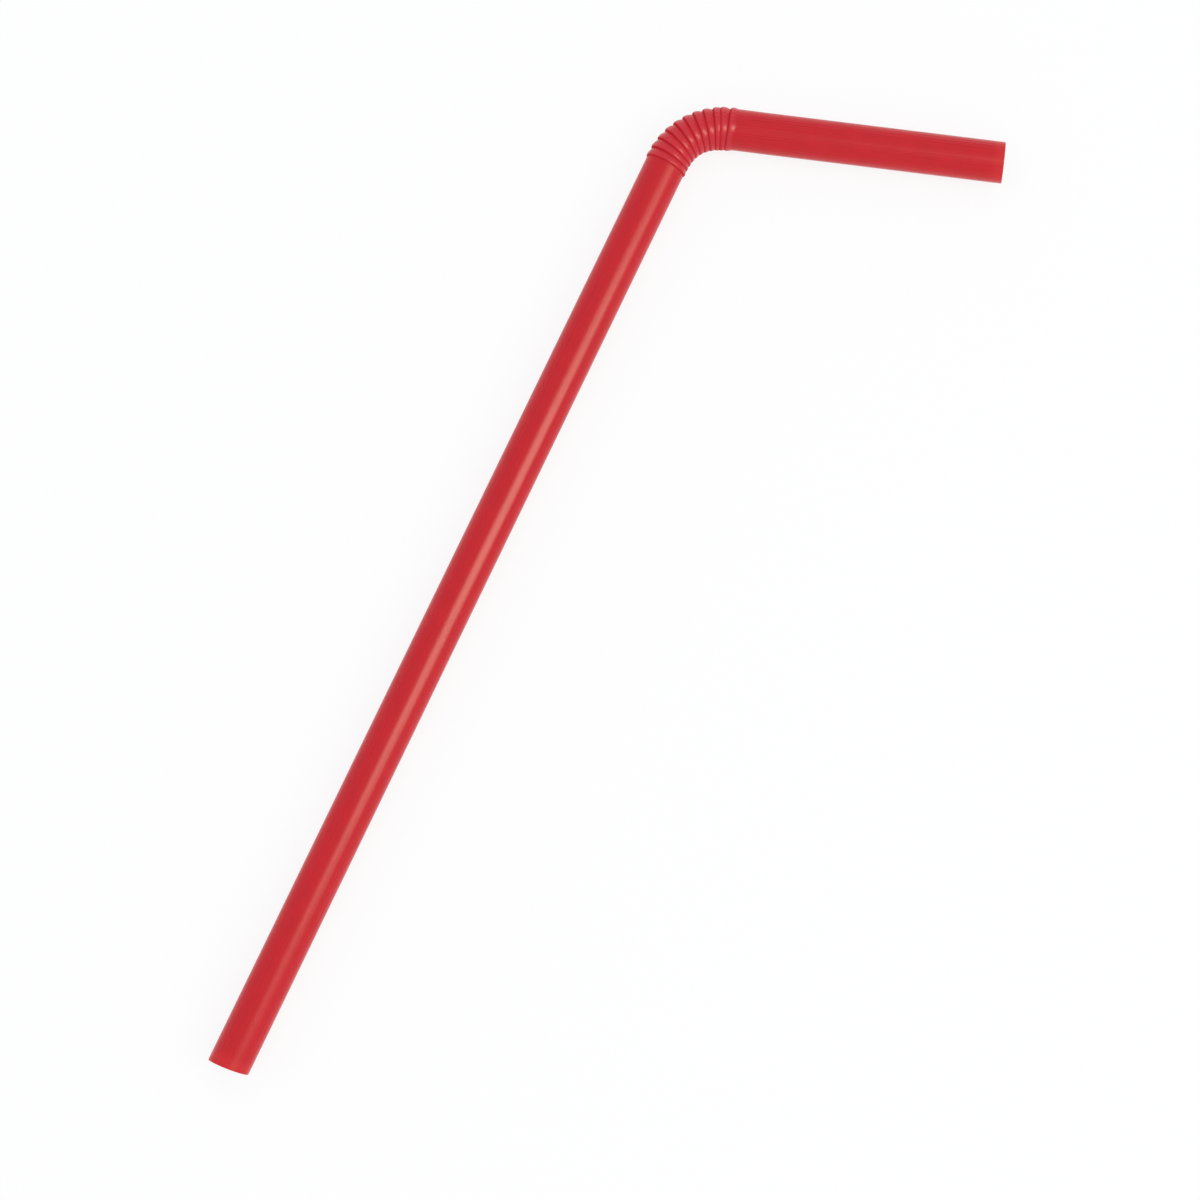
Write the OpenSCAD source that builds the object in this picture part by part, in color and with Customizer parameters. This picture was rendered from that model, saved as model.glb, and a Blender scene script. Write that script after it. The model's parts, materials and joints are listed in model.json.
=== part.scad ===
// A flexible drinking straw, lying on its side with the bend in it.
// It is one thin tube, cut off at both ends, with a pleated stretch pressed into it.
// The long leg runs along +Y up to the pleats, and the short leg turns off towards +X.
// Sizes are in millimetres and angles in degrees.

/* [Tube] */
// Outside diameter of the plain tube
tube_d = 6; // [5:0.1:8]
// Thickness of the tube's wall
wall = 0.2; // [0.1:0.01:0.3]

/* [Legs] */
// Long leg, along its axis from the cut end to the start of the bend
long_leg = 144; // [60:0.1:200]
// Short leg, along its axis from the end of the bend to the cut end
short_leg = 40.1; // [15:0.1:80]
// How far the long leg's cut is out of square, with the outside of the bend left longer
lower_skew = 4; // [0:0.5:8]
// How far the short leg's cut is out of square, with the inside of the bend left longer
mouth_skew = 2.5; // [0:0.5:8]

/* [Bend] */
// Angle the pleated stretch turns through
bend_angle = 72; // [45:1:90]
// Radius of the bend, on the tube's axis
bend_r = 9; // [8.5:0.1:14]

/* [Pleats] */
// Number of pleats around the bend
pleat_count = 11; // [9:1:14]
// Pleat, counted from the long leg, that has stayed nearly shut against the next one
shut_pleat = 9; // [1:1:10]
// Opening of the shut pleat, as a share of the others' opening
shut_share = 0.7; // [0.5:0.05:1]
// How far the first ridge stands before the start of the bend, as a share of the pitch
first_before = 0.28; // [0:0.01:0.5]
// How far the last ridge stands before the end of the bend, as a share of the pitch
last_before = 0.1; // [0:0.01:0.3]
// How far a ridge stands out from the plain tube
ridge_rise = 0.16; // [0.1:0.01:0.3]
// Width of the flat inside a ridge's fold
fold_flat = 0.05; // [0.02:0.01:0.15]
// Slope of the side that faces the long leg
steep_slope = 55; // [35:1:60]
// Slope of the side that faces the short leg
gentle_slope = 18; // [14:1:28]

/* [Hidden] */
$fn = 96;

straw_red = "#C42C36";

tube_r = tube_d / 2;
bore_r = tube_r - wall;
ridge_r = tube_r + ridge_rise;

// The pleats share the bend out between them. Lengths on it are along the axis, from its start.
bend_length = bend_r * bend_angle * PI / 180;
pitch = bend_length / (pleat_count - 2 + shut_share - first_before + last_before);
function ridge_at(i) = pitch * (i - first_before - (i < shut_pleat ? 0 : 1 - shut_share));

// A pleat's sides carry on below its groove, by groove_margin, so that it runs into its neighbours.
// The pleats stand furthest apart on the outside of the bend, so the drop is worked out there.
groove_margin = 0.15;
outer_pitch = pitch * (bend_r + ridge_r) / bend_r;
side_drop = outer_pitch / (1 / tan(steep_slope) + 1 / tan(gentle_slope)) + groove_margin;

// The legs are made this much too long, and the cuts then take the spare length off.
spare = tube_d;

// The straw's outline seen from above, measured from the long leg's cut end, and its middle.
end_x = bend_r * (1 - cos(bend_angle)) + short_leg * sin(bend_angle);
end_y = long_leg + bend_r * sin(bend_angle) + short_leg * cos(bend_angle);
left_x = -ridge_r;
right_x = end_x + tube_r * (cos(bend_angle) + tan(mouth_skew) * sin(bend_angle));
low_y = -tube_r * tan(lower_skew);
high_y = end_y + tube_r * (sin(bend_angle) - tan(mouth_skew) * cos(bend_angle));
mid_x = (left_x + right_x) / 2;
mid_y = (low_y + high_y) / 2;

// Places its children on the bend, at an angle from its start: Z along the tube, X towards the bend's centre.
module on_bend(angle) {
    translate([bend_r, long_leg, 0])
        rotate([0, 0, -angle])
            translate([-bend_r, 0, 0])
                rotate([-90, 0, 0])
                    children();
}

// Places its children in the same way at a length along the axis, on the bend or on the legs next to it.
module on_path(s) {
    on_bend(bend_angle * min(max(s / bend_length, 0), 1))
        translate([0, 0, min(s, 0) + max(s - bend_length, 0)])
            children();
}

// One pleat as a solid of revolution about Z, with its ridge at z = 0.
// The inside of the fold is given by skin = 0, and the outside by skin = wall.
module pleat(skin) {
    top_r = ridge_r - wall + skin;
    root_r = top_r - side_drop;
    steep_top = -fold_flat / 2 - skin * tan(steep_slope / 2);
    steep_root = steep_top - side_drop / tan(steep_slope);
    gentle_top = fold_flat / 2 + skin * tan(gentle_slope / 2);
    gentle_root = gentle_top + side_drop / tan(gentle_slope);
    rotate_extrude()
        polygon([
            [0, steep_root],
            [root_r, steep_root],
            [top_r, steep_top],
            [top_r, gentle_top],
            [root_r, gentle_root],
            [0, gentle_root]
        ]);
}

// The straw filled solid, either to its inside surface or to its outside one.
// The legs stop inside the first and last ridges, which hide their ends.
module filled(r, skin, past) {
    on_bend(0)
        translate([0, 0, -long_leg - past])
            cylinder(h = past + long_leg - first_before * pitch, r = r);
    on_bend(bend_angle)
        translate([0, 0, -last_before * pitch])
            cylinder(h = last_before * pitch + short_leg + past, r = r);
    for (i = [0 : pleat_count - 1])
        on_path(ridge_at(i))
            pleat(skin);
}

// What a cut takes away: all that lies past z = 0, on a plane that leans by skew.
module cut_off(skew) {
    block = 4 * spare;
    rotate([0, -skew, 0])
        translate([-block / 2, -block / 2, 0])
            cube(block);
}

module straw() {
    color(straw_red)
        translate([-mid_x, -mid_y, ridge_r])
            difference() {
                filled(tube_r, wall, spare);
                filled(bore_r, 0, 2 * spare);
                on_bend(0)
                    translate([0, 0, -long_leg])
                        rotate([0, 180, 0])
                            cut_off(lower_skew);
                on_bend(bend_angle)
                    translate([0, 0, short_leg])
                        cut_off(mouth_skew);
            }
}

straw();
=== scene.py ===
"""A flexible drinking straw of red polypropylene, lying on a pale floor in soft studio light.

The straw is one thin tube, so it is one piece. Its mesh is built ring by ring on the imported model's own
sizes: outside from the long leg's cut to the mouth, over the mouth's edge, back along the inside, and over
the lower edge.
"""

import json
import math

import bpy
import numpy as np
from mathutils import Matrix, Vector


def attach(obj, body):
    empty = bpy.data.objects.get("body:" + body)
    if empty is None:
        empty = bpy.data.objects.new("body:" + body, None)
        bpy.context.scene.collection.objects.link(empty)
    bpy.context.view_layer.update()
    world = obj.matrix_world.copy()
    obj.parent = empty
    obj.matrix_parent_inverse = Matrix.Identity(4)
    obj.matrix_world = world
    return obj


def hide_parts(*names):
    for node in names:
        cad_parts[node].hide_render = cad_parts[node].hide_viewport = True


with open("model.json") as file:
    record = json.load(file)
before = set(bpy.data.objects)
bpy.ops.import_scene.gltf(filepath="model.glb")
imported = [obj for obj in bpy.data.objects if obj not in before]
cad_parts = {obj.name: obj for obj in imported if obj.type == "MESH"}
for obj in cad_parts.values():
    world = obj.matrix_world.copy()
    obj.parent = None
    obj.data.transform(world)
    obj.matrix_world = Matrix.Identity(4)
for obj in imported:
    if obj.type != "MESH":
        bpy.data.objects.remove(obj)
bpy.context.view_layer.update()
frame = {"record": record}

bl_info = {
    "name": "Flexible drinking straw",
    "version": (1, 0, 0),
    "blender": (4, 5, 0),
    "location": "3D View > Sidebar > Straw",
    "description": "Builds a bent drinking straw with pleats, its plastic and a small studio",
    "category": "Object",
}

MM = 0.001

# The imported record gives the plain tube, its two cuts and the bend's angle, and with the bend's radius
# they give the legs. The straw lies on its ridges.
MOUNTS = {mount["name"]: mount for mount in frame["record"]["mounts"]}
LOWER_CUT = Vector(MOUNTS["lower_end"]["pos_m"])
MOUTH_CUT = Vector(MOUNTS["mouth_end"]["pos_m"])
MOUTH_AXIS = Vector(MOUNTS["mouth_end"]["axis"])
TUBE_R = MOUNTS["long_leg_outside"]["dims"]["r_mm"] * MM
BORE_R = MOUNTS["lower_end"]["dims"]["r_mm"] * MM
RIDGE_R = LOWER_CUT.z
BEND_ANGLE = math.atan2(MOUTH_AXIS.x, MOUTH_AXIS.y)
BEND_R = 9.0 * MM
SPAN = MOUTH_CUT - LOWER_CUT
SHORT_LEG = (SPAN.x - BEND_R * (1 - math.cos(BEND_ANGLE))) / math.sin(BEND_ANGLE)
LONG_LEG = SPAN.y - BEND_R * math.sin(BEND_ANGLE) - SHORT_LEG * math.cos(BEND_ANGLE)


def linear(hex_colour):
    """An sRGB hex colour as linear red, green and blue, by the sRGB curve."""
    shares = [int(hex_colour[i:i + 2], 16) / 255 for i in (1, 3, 5)]
    return [s / 12.92 if s <= 0.04045 else ((s + 0.055) / 1.055) ** 2.4 for s in shares]


def length(name, description, default):
    """A length that a user may change, in metres."""
    return bpy.props.FloatProperty(
        name=name, description=description, default=default, min=0.0, precision=5, unit="LENGTH")


def angle(name, description, degrees):
    """An angle that a user may change."""
    return bpy.props.FloatProperty(
        name=name, description=description, default=math.radians(degrees), unit="ROTATION")


def share(name, description, default):
    """A share from 0 to 1 that a user may change."""
    return bpy.props.FloatProperty(
        name=name, description=description, default=default, min=0.0, max=1.0, subtype="FACTOR")


def colour(name, description, hex_colour):
    """A colour that a user may change."""
    return bpy.props.FloatVectorProperty(
        name=name, description=description, default=linear(hex_colour), min=0.0, max=1.0, subtype="COLOR")


class StrawShape(bpy.types.PropertyGroup):
    """Sizes of the straw.

    The tube, the legs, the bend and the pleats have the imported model's sizes. The mesh adds what is softer
    on the real straw: rounded and swollen pleats that lean, an inside of the bend that is pressed in, and
    worn cuts, of which the mouth's leans back.
    """

    tube_r: length("Tube radius", "Outside radius of the plain tube", TUBE_R)
    bore_r: length("Bore radius", "Inside radius of the plain tube", BORE_R)
    long_leg: length("Long leg", "From the lower cut to the start of the bend", LONG_LEG)
    short_leg: length("Short leg", "From the end of the bend to the mouth", SHORT_LEG)
    bend_r: length("Bend radius", "Radius of the bend on the tube's axis", BEND_R)
    bend_angle: angle("Bend angle", "Angle the pleats turn through", math.degrees(BEND_ANGLE))
    lower_skew: angle("Lower cut's skew", "How far the long leg's cut is out of square", 4)
    mouth_skew: angle("Mouth cut's skew", "How far the short leg's cut is out of square", 0.6)
    mouth_back: angle("Mouth cut's lean", "How far the short leg's cut leans back at the top", 4.5)
    cut_round: length("Cut edge", "Radius of the worn edges of a cut", 0.06 * MM)
    ridge_r: length("Ridge radius", "Outside radius of a pleat's ridge", RIDGE_R)
    pleat_count: bpy.props.IntProperty(
        name="Pleats", description="Number of pleats around the bend", default=11, min=2)
    shut_pleat: bpy.props.IntProperty(
        name="Shut pleat", description="The nearly shut one, counted from the long leg", default=9)
    shut_share: share("Shut pleat's opening", "As a share of the others' opening", 0.7)
    first_before: share("First ridge", "How far it stands before the bend, as a share of the pitch", 0.28)
    last_before: share("Last ridge", "How far it stands before the bend's end, likewise", 0.1)
    fold_flat: length("Fold's flat", "Width of the flat inside a ridge's fold", 0.05 * MM)
    steep_slope: angle("Steep slope", "Slope of a pleat's side towards the long leg", 55)
    gentle_slope: angle("Gentle slope", "Slope of a pleat's side towards the mouth", 18)
    pleat_lean: angle("Pleats' lean", "How far they lean to the mouth on the outside of the bend", 3.6)
    swell: share("Gentle side's swell", "How far that side starts out flatter and ends steeper", 0.85)
    ridge_round: length("Ridge rounding", "How softly the sides meet on a ridge", 0.11 * MM)
    groove_round: length("Groove rounding", "How softly the sides meet in a groove", 0.03 * MM)
    inner_press: length("Inner press", "How far the inside of the bend is pressed in", 0.25 * MM)


class StrawFinish(bpy.types.PropertyGroup):
    """Colours and shine of the plastic, some of them painted shade and light."""

    red: colour("Red", "The pigmented plastic", "#CA1822")
    # Partly real and partly painted highlight: the ridges are paler, as plastic stretched pale and as light
    # caught on the crests.
    crest_pale_and_highlight: colour("Crest red", "Plastic stretched pale on the ridges", "#D02C38")
    # Painted shade: the creases' darker red stands in for the shade that falls in the grooves.
    painted_crease_shade: colour("Crease red", "Plastic folded tight on the pleats' steep sides", "#C2081C")
    # Painted light: the cut ends' lighter red stands in for light that comes through the thin wall near a
    # cut.
    painted_end_glow: colour("End red", "Thin cut ends, which light comes through", "#D02428")
    roughness: share("Roughness", "Roughness of the extruded skin", 0.28)
    crease_roughness: share("Crease roughness", "Roughness where the skin is folded tight", 0.85)


class StrawStage(bpy.types.PropertyGroup):
    """The studio around the straw."""

    floor_white: colour("Floor", "Colour of the floor and the background", "#FFFFFF")
    floor_lift: share("Floor's lift", "Share of the floor that shows plain, over its shadow", 0.85)
    ambient: share("Ambient light", "Strength of the light from all round", 0.9)
    ambient_colour: colour("Ambient light's colour", "Slightly cool, to balance the key", "#F5F8FF")
    key_power: bpy.props.FloatProperty(
        name="Key lamp", description="Power of the softbox on the right", default=1.5, unit="POWER")
    shine_power: bpy.props.FloatProperty(
        name="Shine", description="Power that its reflection has on top of that", default=4.6, unit="POWER")
    key_colour: colour("Key lamp's colour", "Slightly warm", "#FFF3D8")
    lens: bpy.props.FloatProperty(
        name="Lens", description="Focal length on a 36 mm wide frame", default=78.0, unit="CAMERA")


def empty_tree(owner):
    """The node tree of a new material or world, with nothing in it."""
    owner.use_nodes = True
    owner.node_tree.nodes.clear()
    return owner.node_tree


def add_node(tree, kind, inputs=None, **settings):
    """Adds a node with its settings. An input is linked if it is given a socket, and set otherwise."""
    node = tree.nodes.new(kind)
    for name, value in settings.items():
        setattr(node, name, value)
    for name, value in (inputs or {}).items():
        if isinstance(value, bpy.types.NodeSocket):
            tree.links.new(value, node.inputs[name])
        else:
            node.inputs[name].default_value = value
    return node


def ridge_lengths(shape):
    """Lengths from the lower cut at which the ridges stand. The shut pleat takes less than the others."""
    openings = shape.pleat_count - 2 + shape.shut_share - shape.first_before + shape.last_before
    pitch = shape.bend_r * shape.bend_angle / openings
    numbers = np.arange(shape.pleat_count)
    lost = np.where(numbers < shape.shut_pleat, 0.0, 1 - shape.shut_share)
    return shape.long_leg + pitch * (numbers - shape.first_before - lost)


def axis_at(shape, s):
    """The tube's axis at lengths s from the lower cut: its points, and its directions along and outwards.

    All are in the plane of the bend, from the lower cut. Outwards is away from the bend's centre.
    """
    bend_length = shape.bend_r * shape.bend_angle
    turn = np.clip((s - shape.long_leg) / bend_length, 0, 1) * shape.bend_angle
    straight = np.where(s < shape.long_leg, s, shape.long_leg)
    past = np.maximum(s - shape.long_leg - bend_length, 0)
    along = np.stack([np.sin(turn), np.cos(turn)], -1)
    outwards = np.stack([-np.cos(turn), np.sin(turn)], -1)
    x = shape.bend_r * (1 - np.cos(turn)) + past * np.sin(turn)
    y = straight + shape.bend_r * np.sin(turn) + past * np.cos(turn)
    return np.stack([x, y], -1), along, outwards


def soft_step(x, rounding):
    """x above zero and nothing below it, with the corner rounded."""
    return (x + np.sqrt(x * x + rounding * rounding)) / 2


# How far down a gentle side the swell has come back to the plain slope.
SWELL_RUN = 1.0 * MM


def pleat_fall(shape, z, skin):
    """How far one pleat has fallen at z along its axis from the ridge. Its gentle side swells outwards.

    The fold's inside is given by skin = 0, and its outside by the wall as the skin.
    """
    steep_top = -shape.fold_flat / 2 - skin * math.tan(shape.steep_slope / 2)
    gentle_top = shape.fold_flat / 2 + skin * math.tan(shape.gentle_slope / 2)
    steep_run = soft_step(steep_top - z, shape.ridge_round)
    gentle_run = soft_step(z - gentle_top, shape.ridge_round)
    swollen = 1 - shape.swell * (1 - gentle_run / SWELL_RUN)
    return math.tan(shape.steep_slope) * steep_run + math.tan(shape.gentle_slope) * gentle_run * swollen


def pleat_height(shape, z, skin):
    """The radius of one pleat at z along its axis from the ridge, with its ridge rounded."""
    wall = shape.tube_r - shape.bore_r
    return shape.ridge_r - wall + skin - pleat_fall(shape, z, skin) + pleat_fall(shape, 0.0, skin)


def from_ridge(shape, ridge, across, up):
    """How far points lie past a leaning ridge, along the tube, and how far from the tube's axis there."""
    point, along, outwards = ridge
    offset = across - point
    sideways = offset @ outwards
    return offset @ along - math.tan(shape.pleat_lean) * sideways, np.hypot(sideways, up)


# A pleat counts this far from its ridge. On the steep side a crease starts this far from the ridge, and in
# a groove it fades out where one pleat stands this far above the next.
PLEAT_REACH = 2.5 * MM
CREASE_FROM_RIDGE = 0.08 * MM
CREASE_FROM_GROOVE = 0.3 * MM


def room_inside(shape, across, up, skin):
    """How far points lie inside the pleated tube, below zero outside it, and how far they are in a crease.

    Points are given by their place across the bend's plane and their height up from it. A pleat counts
    only near its own ridge, because its cone would come out on the far side of the bend. A crease is the
    bottom of a groove and the steep side above it.
    """
    plain_r = shape.bore_r + skin
    ridges = list(zip(*axis_at(shape, ridge_lengths(shape))))
    found = []
    past_ridge = []
    for ridge in ridges:
        z, radius = from_ridge(shape, ridge, across, up)
        found.append(np.where(np.abs(z) < PLEAT_REACH, pleat_height(shape, z, skin) - radius, -plain_r))
        past_ridge.append(z)
    for ridge, way in ((ridges[0], -1), (ridges[-1], 1)):
        z, radius = from_ridge(shape, ridge, across, up)
        found.append(np.where(way * z > 0, plain_r - radius, -plain_r))
        past_ridge.append(np.full(radius.shape, np.inf))

    # The two surfaces that reach furthest out run into each other, which rounds the groove between them.
    first, second = np.sort(found, axis=0)[[-1, -2]]
    gap = first - second
    room = (first + second + np.sqrt(gap * gap + shape.groove_round ** 2)) / 2

    # The last pleat runs out onto the short leg, which is the last one found, without a crease.
    nearest = np.argmax(found, axis=0)[None]
    past = np.take_along_axis(np.array(past_ridge), nearest, axis=0)[0]
    first, second = np.sort(found[:-1], axis=0)[[-1, -2]]
    steep = np.clip(-past / CREASE_FROM_RIDGE - 1, 0, 1)
    groove = np.clip(1 - (first - second) / CREASE_FROM_GROOVE, 0, 1)
    return room, np.maximum(steep, groove)


# The pleated tube's radius is looked for between these shares of the plain one's.
SEARCH_FROM = 0.6
SEARCH_TO = 1.3
HALVINGS = 30


def pleated_radius(shape, s, around, skin):
    """The pleated stretch at lengths s and angles around the tube: its radius, and how far it is creased.

    The radius is found by halving the range.
    """
    points, _, outwards = axis_at(shape, s)
    low = np.full(np.broadcast(s, around).shape, SEARCH_FROM * shape.tube_r)
    high = np.full(low.shape, SEARCH_TO * shape.tube_r)
    for _ in range(HALVINGS):
        radius = (low + high) / 2
        across = points + outwards * (radius * np.cos(around))[..., None]
        room, crease = room_inside(shape, across, radius * np.sin(around), skin)
        low = np.where(room > 0, radius, low)
        high = np.where(room > 0, high, radius)
    return radius, crease


# How fine the mesh is: points in a ring, rings along the plain legs and near a cut, rings over a pleat's
# steep side and its gentle one, outside and inside, and rings over each worn edge of a cut.
SIDES = 128
LEG_STEP = 3.0 * MM
NEAR_CUT = np.array([0.0, 0.1, 0.3, 0.8, 1.6]) * MM
OUTER_STEPS = (26, 7)
INNER_STEPS = (8, 3)
CUT_STEPS = 5

# The fine rings start this far before the bend and end this far past it. A steep side takes up this much
# before its ridge and past it, which together stay under the shut pleat's pitch.
PLEAT_LEAD = 1.0 * MM
PLEAT_TAIL = 1.4 * MM
STEEP_BEFORE = 0.55 * MM
STEEP_PAST = 0.2 * MM


def pleat_stations(shape, pleats_from, pleats_to, steps):
    """Lengths over the pleats, with steps over each steep side and then fewer over each gentle one."""
    ridges = ridge_lengths(shape)
    knots = np.stack([ridges - STEEP_BEFORE, ridges + STEEP_PAST], -1).ravel()
    runs = [np.linspace(pleats_from, knots[0], steps[1], endpoint=False)]
    for i, (start, end) in enumerate(zip(knots, [*knots[1:], pleats_to])):
        runs.append(np.linspace(start, end, steps[i % 2], endpoint=False))
    return np.concatenate([*runs, [pleats_to]])


def stations(shape, steps):
    """Lengths from the lower cut at which rings lie on one surface, between its two cut edges.

    With them come the start and the end of the fine rings, and the straw's whole length.
    """
    bend_end = shape.long_leg + shape.bend_r * shape.bend_angle
    total = bend_end + shape.short_leg
    near = shape.cut_round + NEAR_CUT
    pleats_from = shape.long_leg - PLEAT_LEAD
    pleats_to = bend_end + PLEAT_TAIL
    runs = [
        near,
        np.arange(near[-1] + LEG_STEP, pleats_from - LEG_STEP / 2, LEG_STEP),
        pleat_stations(shape, pleats_from, pleats_to, steps),
        np.arange(pleats_to + LEG_STEP, total - near[-1] - LEG_STEP / 2, LEG_STEP),
        total - near[::-1],
    ]
    return np.concatenate(runs), pleats_from, pleats_to, total


def surface_rings(shape, skin, steps, around):
    """Lengths, radii and creases of the rings on one surface, and the straw's whole length.

    The outside is given by the wall as the skin, and the inside by skin = 0.
    """
    s, pleats_from, pleats_to, total = stations(shape, steps)
    radius = np.full((len(s), len(around)), shape.bore_r + skin)
    crease = np.zeros(radius.shape)
    pleated = (s >= pleats_from) & (s <= pleats_to)
    radius[pleated], crease[pleated] = pleated_radius(shape, s[pleated][:, None], around[None, :], skin)
    return s, radius, crease, total


def cut_rings(shape):
    """Distances in from the cut, and radii, of the rings over a cut edge from the outside to the inside."""
    turns = np.linspace(0, math.pi / 2, CUT_STEPS)[1:]
    depth = shape.cut_round * (1 - np.sin(turns))
    inset = shape.cut_round * (1 - np.cos(turns))
    depths = np.concatenate([depth, depth[::-1]])
    radii = np.concatenate([shape.tube_r - inset, (shape.bore_r + inset)[::-1]])
    return depths, radii


def straw_rings(shape):
    """All rings in order, as lengths, radii and creases: outside, mouth's edge, inside, lower edge.

    With them come the angles around a ring and the straw's whole length.
    """
    around = np.arange(SIDES) * 2 * math.pi / SIDES
    wall = shape.tube_r - shape.bore_r
    outer_s, outer_r, outer_crease, total = surface_rings(shape, wall, OUTER_STEPS, around)
    inner_s, inner_r, _, _ = surface_rings(shape, 0.0, INNER_STEPS, around)
    depths, radii = cut_rings(shape)
    edge_r = np.repeat(radii[:, None], SIDES, axis=1)
    s = np.concatenate([outer_s, total - depths, inner_s[::-1], depths[::-1]])
    radius = np.concatenate([outer_r, edge_r, inner_r[::-1], edge_r[::-1]])
    crease = np.zeros(radius.shape)
    crease[:len(outer_s)] = outer_crease
    return s, radius, crease, around, total


def pressed_in(shape, s, around):
    """How far the tube is pressed in at lengths s and angles around it: most inside the bend's middle."""
    turn = np.clip((s - shape.long_leg) / (shape.bend_r * shape.bend_angle), 0, 1)
    inner = np.clip(-np.cos(around), 0, 1)
    return shape.inner_press * np.sin(math.pi * turn) ** 2 * inner ** 2


def straw_points(shape):
    """The mesh's points as bent and as they were before bending, and their radii and creases.

    The last value is the straw's whole length. Points slide along the tube towards a cut that leans, more
    so the nearer they are to it.
    """
    s, radius, crease, around, total = straw_rings(shape)
    reach = radius - pressed_in(shape, s[:, None], around)
    sideways = reach * np.cos(around)
    up = reach * np.sin(around)
    bend_end = total - shape.short_leg
    to_lower = np.clip(1 - s / shape.long_leg, 0, 1)[:, None]
    to_mouth = np.clip((s - bend_end) / shape.short_leg, 0, 1)[:, None]
    skew = to_lower * math.tan(shape.lower_skew) + to_mouth * math.tan(shape.mouth_skew)
    length_at = s[:, None] - skew * sideways - to_mouth * math.tan(shape.mouth_back) * up
    points, along, outwards = axis_at(shape, s)
    slid = (length_at - s[:, None])[..., None] * along[:, None]
    flat = points[:, None] + slid + outwards[:, None] * sideways[..., None]
    bent = np.concatenate([flat, up[..., None]], -1) + np.array(LOWER_CUT)
    straight = np.stack([sideways, up, length_at], -1)
    return bent, straight, radius, crease, total


# The map to bake through holds the tube as strips side by side, with a gap around each.
BAKE_STRIPS = 6
BAKE_GAP = 0.02


def bake_places(straight):
    """Where each ring's two edges lie along its strip of the map, where the strip starts, and its width."""
    run = np.linalg.norm(np.diff(straight[:, 0], axis=0, append=straight[:1, 0]), axis=1)
    reached = np.concatenate([[0.0], np.cumsum(run)])
    strip_of = np.minimum((reached[:-1] / reached[-1] * BAKE_STRIPS).astype(int), BAKE_STRIPS - 1)
    starts = np.array([reached[:-1][strip_of == k].min() for k in range(BAKE_STRIPS)])
    ends = np.array([reached[1:][strip_of == k].max() for k in range(BAKE_STRIPS)])
    longest = (ends - starts).max()
    filled = 1 - 2 * BAKE_GAP
    begin = (reached[:-1] - starts[strip_of]) / longest * filled + BAKE_GAP
    finish = (reached[1:] - starts[strip_of]) / longest * filled + BAKE_GAP
    return begin, finish, (strip_of + BAKE_GAP) / BAKE_STRIPS, filled / BAKE_STRIPS


def straw_mesh(shape):
    """The straw as one closed mesh, with its place before bending, its folds and its cuts as attributes."""
    bent, straight, radius, crease, total = straw_points(shape)
    rings = len(bent)
    here = np.arange(rings * SIDES).reshape(rings, SIDES)
    ahead = np.roll(here, -1, axis=0)
    faces = np.stack([here, np.roll(here, -1, axis=1), np.roll(ahead, -1, axis=1), ahead], -1)
    mesh = bpy.data.meshes.new("straw_tube")
    mesh.from_pydata(bent.reshape(-1, 3), [], faces.reshape(-1, 4))
    mesh.update()

    begin, finish, low, width = bake_places(straight)
    column = np.arange(SIDES)
    left = low[:, None] + column / SIDES * width
    right = low[:, None] + (column + 1) / SIDES * width
    first = np.repeat(begin[:, None], SIDES, axis=1)
    last = np.repeat(finish[:, None], SIDES, axis=1)
    corners = [(first, left), (first, right), (last, right), (last, left)]
    places = np.stack([np.stack(corner, -1) for corner in corners], -2)
    mesh.uv_layers.new(name="OFBake").data.foreach_set("uv", places.ravel())

    # fold leads the material to paler ridges, partly a painted highlight, and crease to painted shade in the
    # creases.
    fold = (radius - shape.tube_r) / (shape.ridge_r - shape.tube_r)
    from_cut = np.minimum(straight[..., 2], total - straight[..., 2])
    before_bend = mesh.attributes.new("before_bend", "FLOAT_VECTOR", "POINT")
    before_bend.data.foreach_set("vector", straight.ravel())
    for name, values in (("fold", fold), ("crease", crease), ("from_cut", from_cut)):
        mesh.attributes.new(name, "FLOAT", "POINT").data.foreach_set("value", values.ravel())
    mesh.polygons.foreach_set("use_smooth", np.ones(rings * SIDES, bool))
    return mesh


# Lines that the die has drawn along the tube: their spacing, the length over which they change, their depth
# and how far they change the roughness. Real ones are finer. They are drawn this coarse so that they show.
DIE_LINE = 0.35 * MM
DIE_LINE_RUN = 45 * MM
DIE_LINE_DEPTH = 0.003 * MM
DIE_LINE_ROUGHNESS = 0.012

# Patches of slightly uneven pigment, and how much lighter and darker they are.
MOTTLE = 2.5 * MM
MOTTLE_TONE = 0.03

# A noise pattern has most of its values between these two.
NOISE_LOW = 0.3
NOISE_HIGH = 0.7

# A cut end starts to glow this far from the cut, and from the second distance on it is fully lit.
LIT_FROM = 2.2 * MM
LIT_FULLY = 0.4 * LIT_FROM

# Polypropylene has an index of about 1.49. It is lower here, because the straw shines less than that.
PLASTIC_IOR = 1.36

# How much light comes back from inside the wall, how deep it goes, and how far in red, green and blue.
GLOW = 0.3
GLOW_DEPTH = 0.4 * MM
GLOW_COLOURS = (1.0, 0.3, 0.2)

# A mixing node repeats its sockets' names for numbers and for colours, so they are told apart by position.
MIX_SHARE = 0
NUMBER_A = 2
NUMBER_B = 3
MIXED_NUMBER = 0
COLOUR_A = 6
COLOUR_B = 7
MIXED_COLOUR = 2


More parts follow.
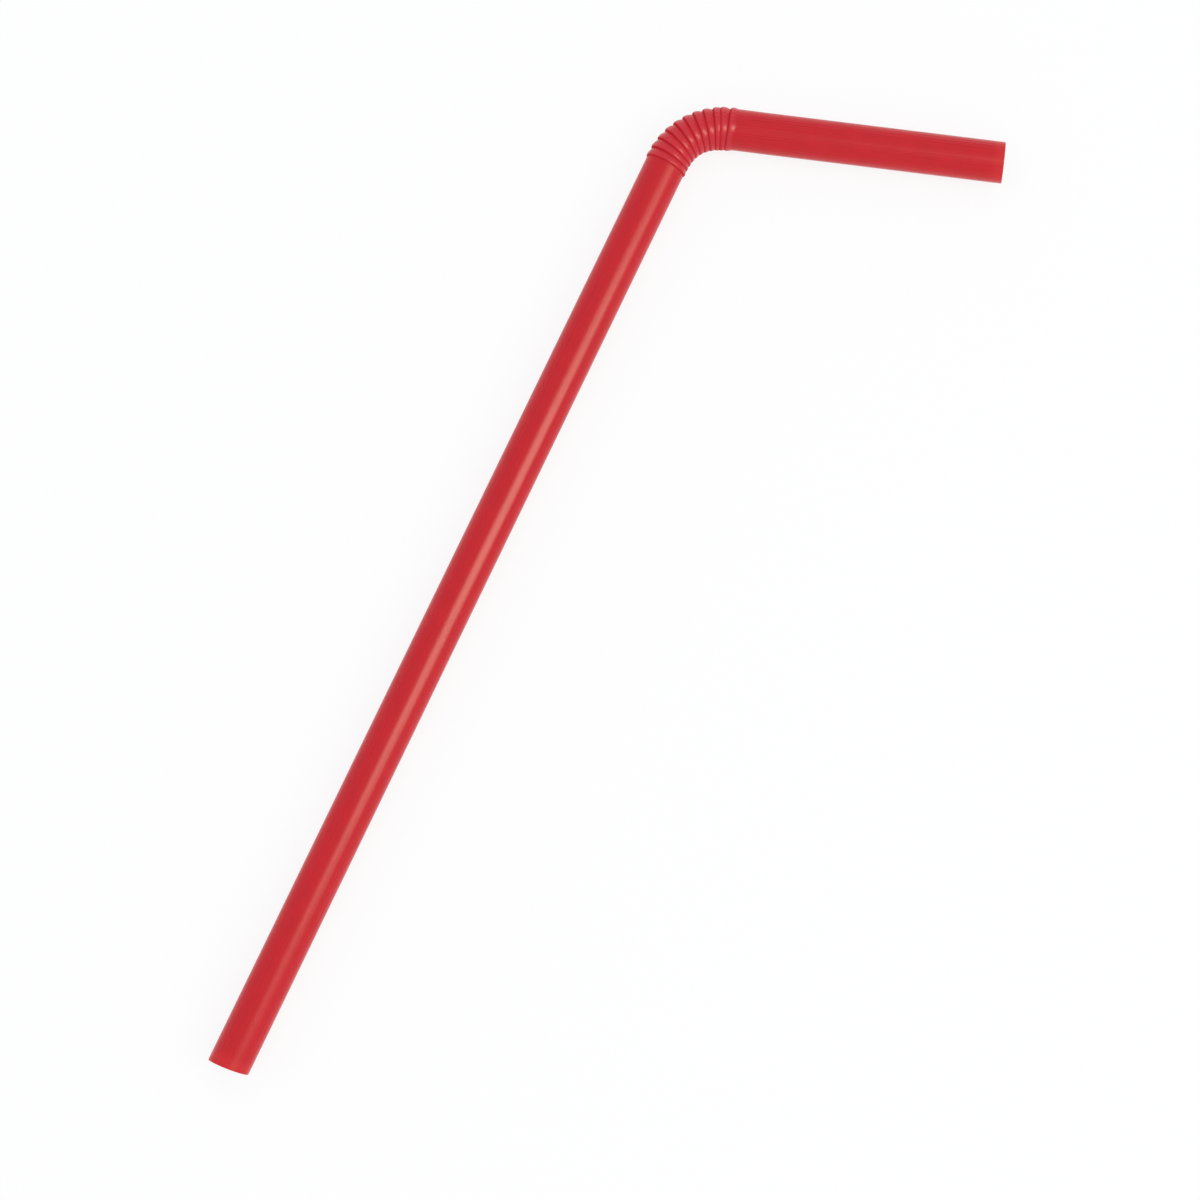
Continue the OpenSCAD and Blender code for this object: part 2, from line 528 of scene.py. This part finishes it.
def extruded_polypropylene(finish):
    """Pigmented polypropylene, extruded as a thin tube and rolled into pleats.

    The skin is satin rather than glossy, with faint lines drawn along the tube by the die. The thin wall
    passes some light, and the cut ends' glow from it is painted into the colour. The ridges are paler,
    partly as plastic stretched pale and partly as a painted highlight, and the creases between them are
    painted shade and made dull.
    """
    material = bpy.data.materials.new("extruded_polypropylene_red")
    tree = empty_tree(material)
    before_bend, fold, crease, from_cut = [
        add_node(tree, "ShaderNodeAttribute", attribute_name=name)
        for name in ("before_bend", "fold", "crease", "from_cut")]

    drawn = add_node(tree, "ShaderNodeMapping", {
        "Vector": before_bend.outputs["Vector"],
        "Scale": (1 / DIE_LINE, 1 / DIE_LINE, 1 / DIE_LINE_RUN)})
    die_lines = add_node(tree, "ShaderNodeTexNoise", {
        "Vector": drawn.outputs["Vector"], "Scale": 1.0, "Detail": 2.0, "Roughness": 0.6})
    mottle = add_node(tree, "ShaderNodeTexNoise", {
        "Vector": before_bend.outputs["Vector"], "Scale": 1 / MOTTLE, "Detail": 3.0})
    lit_end = add_node(tree, "ShaderNodeMapRange", {
        "Value": from_cut.outputs["Fac"], "From Min": LIT_FROM, "From Max": LIT_FULLY},
        interpolation_type="SMOOTHSTEP")

    # The base red takes paler ridges (partly a painted highlight), then painted shade in the creases, then a
    # painted glow at the cut ends.
    base = [*finish.red, 1]
    for laid, over in (
            (fold.outputs["Fac"], finish.crest_pale_and_highlight),
            (crease.outputs["Fac"], finish.painted_crease_shade),
            (lit_end.outputs["Result"], finish.painted_end_glow)):
        mixed = add_node(tree, "ShaderNodeMix", {
            MIX_SHARE: laid, COLOUR_A: base, COLOUR_B: [*over, 1]}, data_type="RGBA")
        base = mixed.outputs[MIXED_COLOUR]
    tone = add_node(tree, "ShaderNodeMapRange", {
        "Value": mottle.outputs["Fac"], "From Min": NOISE_LOW, "From Max": NOISE_HIGH,
        "To Min": 1 - MOTTLE_TONE, "To Max": 1 + MOTTLE_TONE})
    toned = add_node(tree, "ShaderNodeHueSaturation", {"Value": tone.outputs["Result"], "Color": base})

    skin = add_node(tree, "ShaderNodeMapRange", {
        "Value": die_lines.outputs["Fac"], "From Min": NOISE_LOW, "From Max": NOISE_HIGH,
        "To Min": finish.roughness - DIE_LINE_ROUGHNESS, "To Max": finish.roughness + DIE_LINE_ROUGHNESS})
    roughness = add_node(tree, "ShaderNodeMix", {
        MIX_SHARE: crease.outputs["Fac"], NUMBER_A: skin.outputs["Result"],
        NUMBER_B: finish.crease_roughness}, data_type="FLOAT")
    bump = add_node(tree, "ShaderNodeBump", {
        "Strength": 1.0, "Distance": DIE_LINE_DEPTH, "Height": die_lines.outputs["Fac"]})
    plastic = add_node(tree, "ShaderNodeBsdfPrincipled", {
        "Base Color": toned.outputs["Color"], "Roughness": roughness.outputs[MIXED_NUMBER],
        "IOR": PLASTIC_IOR, "Normal": bump.outputs["Normal"], "Subsurface Weight": GLOW,
        "Subsurface Radius": GLOW_COLOURS, "Subsurface Scale": GLOW_DEPTH})
    add_node(tree, "ShaderNodeOutputMaterial", {"Surface": plastic.outputs["BSDF"]})
    return material


class STRAW_OT_tube(bpy.types.Operator):
    """Build the straw's tube with its pleats and its plastic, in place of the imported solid"""

    bl_idname = "straw.tube"
    bl_label = "Straw"

    def execute(self, context):
        mesh = straw_mesh(context.scene.straw_shape)
        mesh.materials.append(extruded_polypropylene(context.scene.straw_finish))
        tube = bpy.data.objects.new("straw_tube", mesh)
        context.scene.collection.objects.link(tube)
        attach(tube, "root")
        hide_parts("straw")
        return {"FINISHED"}


def seen_by_eye(tree):
    """A socket that is 1 where the camera looks, straight or by reflection or through something clear."""
    path = add_node(tree, "ShaderNodeLightPath")
    seen = add_node(tree, "ShaderNodeMath", {
        0: path.outputs["Is Camera Ray"], 1: path.outputs["Is Glossy Ray"]}, operation="ADD")
    seen = add_node(tree, "ShaderNodeMath", {
        0: seen.outputs[0], 1: path.outputs["Is Transmission Ray"]}, operation="ADD", use_clamp=True)
    return seen.outputs[0]


def painted_floor(stage):
    """Matt white paint on a flat board. It takes a soft shadow, and most of it shows as plain white."""
    material = bpy.data.materials.new("matt_white_paint")
    tree = empty_tree(material)
    lift = add_node(tree, "ShaderNodeMath", {
        0: seen_by_eye(tree), 1: stage.floor_lift}, operation="MULTIPLY")
    white = [*stage.floor_white, 1]
    paint = add_node(tree, "ShaderNodeBsdfDiffuse", {"Color": white})
    plain = add_node(tree, "ShaderNodeEmission", {"Color": white, "Strength": 1.0})
    mixed = add_node(tree, "ShaderNodeMixShader", {
        0: lift.outputs[0], 1: paint.outputs["BSDF"], 2: plain.outputs["Emission"]})
    add_node(tree, "ShaderNodeOutputMaterial", {"Surface": mixed.outputs["Shader"]})
    return material


# How high the backdrop reaches, and how softly it ends, as heights on a sphere of radius 1.
BACKDROP_TOP = 0.1
BACKDROP_FADE = 0.1


def set_world(scene, stage):
    """A white backdrop all round, a little way up from the floor, and a plain soft light above it."""
    world = bpy.data.worlds.new("studio")
    tree = empty_tree(world)
    seen = seen_by_eye(tree)
    looking = add_node(tree, "ShaderNodeTexCoord")
    height = add_node(tree, "ShaderNodeSeparateXYZ", {"Vector": looking.outputs["Generated"]})
    low = add_node(tree, "ShaderNodeMapRange", {
        "Value": height.outputs["Z"], "From Min": BACKDROP_TOP + BACKDROP_FADE, "From Max": BACKDROP_TOP})
    on_backdrop = add_node(tree, "ShaderNodeMath", {
        0: seen, 1: low.outputs["Result"]}, operation="MULTIPLY")
    room = add_node(tree, "ShaderNodeBackground", {
        "Color": [*stage.ambient_colour, 1], "Strength": stage.ambient})
    backdrop = add_node(tree, "ShaderNodeBackground", {"Color": [*stage.floor_white, 1], "Strength": 1.0})
    mixed = add_node(tree, "ShaderNodeMixShader", {
        0: on_backdrop.outputs[0], 1: room.outputs[0], 2: backdrop.outputs[0]})
    add_node(tree, "ShaderNodeOutputWorld", {"Surface": mixed.outputs["Shader"]})
    scene.world = world


# Where the softbox stands and how large it is, in metres.
KEY_PLACE = Vector((0.521, 0.099, 0.702))
KEY_WIDTH = 0.28
KEY_HEIGHT = 0.63


def add_softbox(scene, name, power, light_colour):
    """A rectangular lamp on the right, high up, that faces the straw's middle."""
    data = bpy.data.lights.new(name, "AREA")
    data.shape = "RECTANGLE"
    data.size = KEY_WIDTH
    data.size_y = KEY_HEIGHT
    data.energy = power
    data.color = light_colour
    lamp = bpy.data.objects.new(name, data)
    lamp.location = KEY_PLACE
    lamp.rotation_mode = "QUATERNION"
    lamp.rotation_quaternion = (-KEY_PLACE).to_track_quat("-Z", "Y")
    lamp.visible_camera = False
    scene.collection.objects.link(lamp)
    return lamp


# Where the camera stands, which way it looks and which way is up in the picture. Its frame's width is in
# millimetres, as the lens is, and nothing nearer than CAMERA_NEAR shows.
CAMERA_PLACE = Vector((20.545, -41.09, 372.08)) * MM
CAMERA_VIEW = Vector((-0.0616, 0.1053, -0.9925))
CAMERA_UP = Vector((-0.4249, 0.8971, 0.1215))
CAMERA_FRAME = 36.0
CAMERA_NEAR = 10 * MM


def add_camera(scene, stage):
    """The camera nearly overhead, turned so that the straw leans across the picture."""
    data = bpy.data.cameras.new("camera")
    data.sensor_width = CAMERA_FRAME
    data.lens = stage.lens
    data.clip_start = CAMERA_NEAR
    camera = bpy.data.objects.new("camera", data)
    back = -CAMERA_VIEW.normalized()
    right = CAMERA_UP.cross(back).normalized()
    up = back.cross(right)
    turn = Matrix((right, up, back)).transposed().to_4x4()
    camera.matrix_world = Matrix.Translation(CAMERA_PLACE) @ turn
    scene.collection.objects.link(camera)
    scene.camera = camera


# Half the floor's width, in metres, and its corners in halves.
FLOOR_HALF = 3.0
FLOOR_CORNERS = ((-1, -1), (1, -1), (1, 1), (-1, 1))


class STRAW_OT_stage(bpy.types.Operator):
    """Set up the floor, the soft lamps, the background and the camera"""

    bl_idname = "straw.stage"
    bl_label = "Stage"

    def execute(self, context):
        scene = context.scene
        stage = scene.straw_stage
        mesh = bpy.data.meshes.new("floor")
        corners = [(x * FLOOR_HALF, y * FLOOR_HALF, 0) for x, y in FLOOR_CORNERS]
        mesh.from_pydata(corners, [], [range(len(corners))])
        mesh.materials.append(painted_floor(stage))
        floor = bpy.data.objects.new("floor", mesh)
        scene.collection.objects.link(floor)
        set_world(scene, stage)
        add_softbox(scene, "key", stage.key_power, stage.key_colour)
        shine = add_softbox(scene, "shine", stage.shine_power, stage.key_colour)
        shine.visible_diffuse = False
        add_camera(scene, stage)
        scene.view_settings.view_transform = "Standard"
        return {"FINISHED"}


class STRAW_PT_panel(bpy.types.Panel):
    """Lists the pieces and their settings"""

    bl_idname = "STRAW_PT_panel"
    bl_label = "Flexible straw"
    bl_space_type = "VIEW_3D"
    bl_region_type = "UI"
    bl_category = "Straw"

    def draw(self, context):
        for operator, groups in (
                ("straw.tube", ("straw_shape", "straw_finish")),
                ("straw.stage", ("straw_stage",))):
            box = self.layout.box()
            box.operator(operator)
            for group in groups:
                settings = getattr(context.scene, group)
                for name in settings.__annotations__:
                    box.prop(settings, name)


CLASSES = (StrawShape, StrawFinish, StrawStage, STRAW_OT_tube, STRAW_OT_stage, STRAW_PT_panel)


def register():
    for cls in CLASSES:
        bpy.utils.register_class(cls)
    bpy.types.Scene.straw_shape = bpy.props.PointerProperty(type=StrawShape)
    bpy.types.Scene.straw_finish = bpy.props.PointerProperty(type=StrawFinish)
    bpy.types.Scene.straw_stage = bpy.props.PointerProperty(type=StrawStage)


def unregister():
    del bpy.types.Scene.straw_stage
    del bpy.types.Scene.straw_finish
    del bpy.types.Scene.straw_shape
    for cls in reversed(CLASSES):
        bpy.utils.unregister_class(cls)


def main():
    register()
    bpy.ops.straw.tube()
    bpy.ops.straw.stage()


if __name__ == "__main__":
    main()
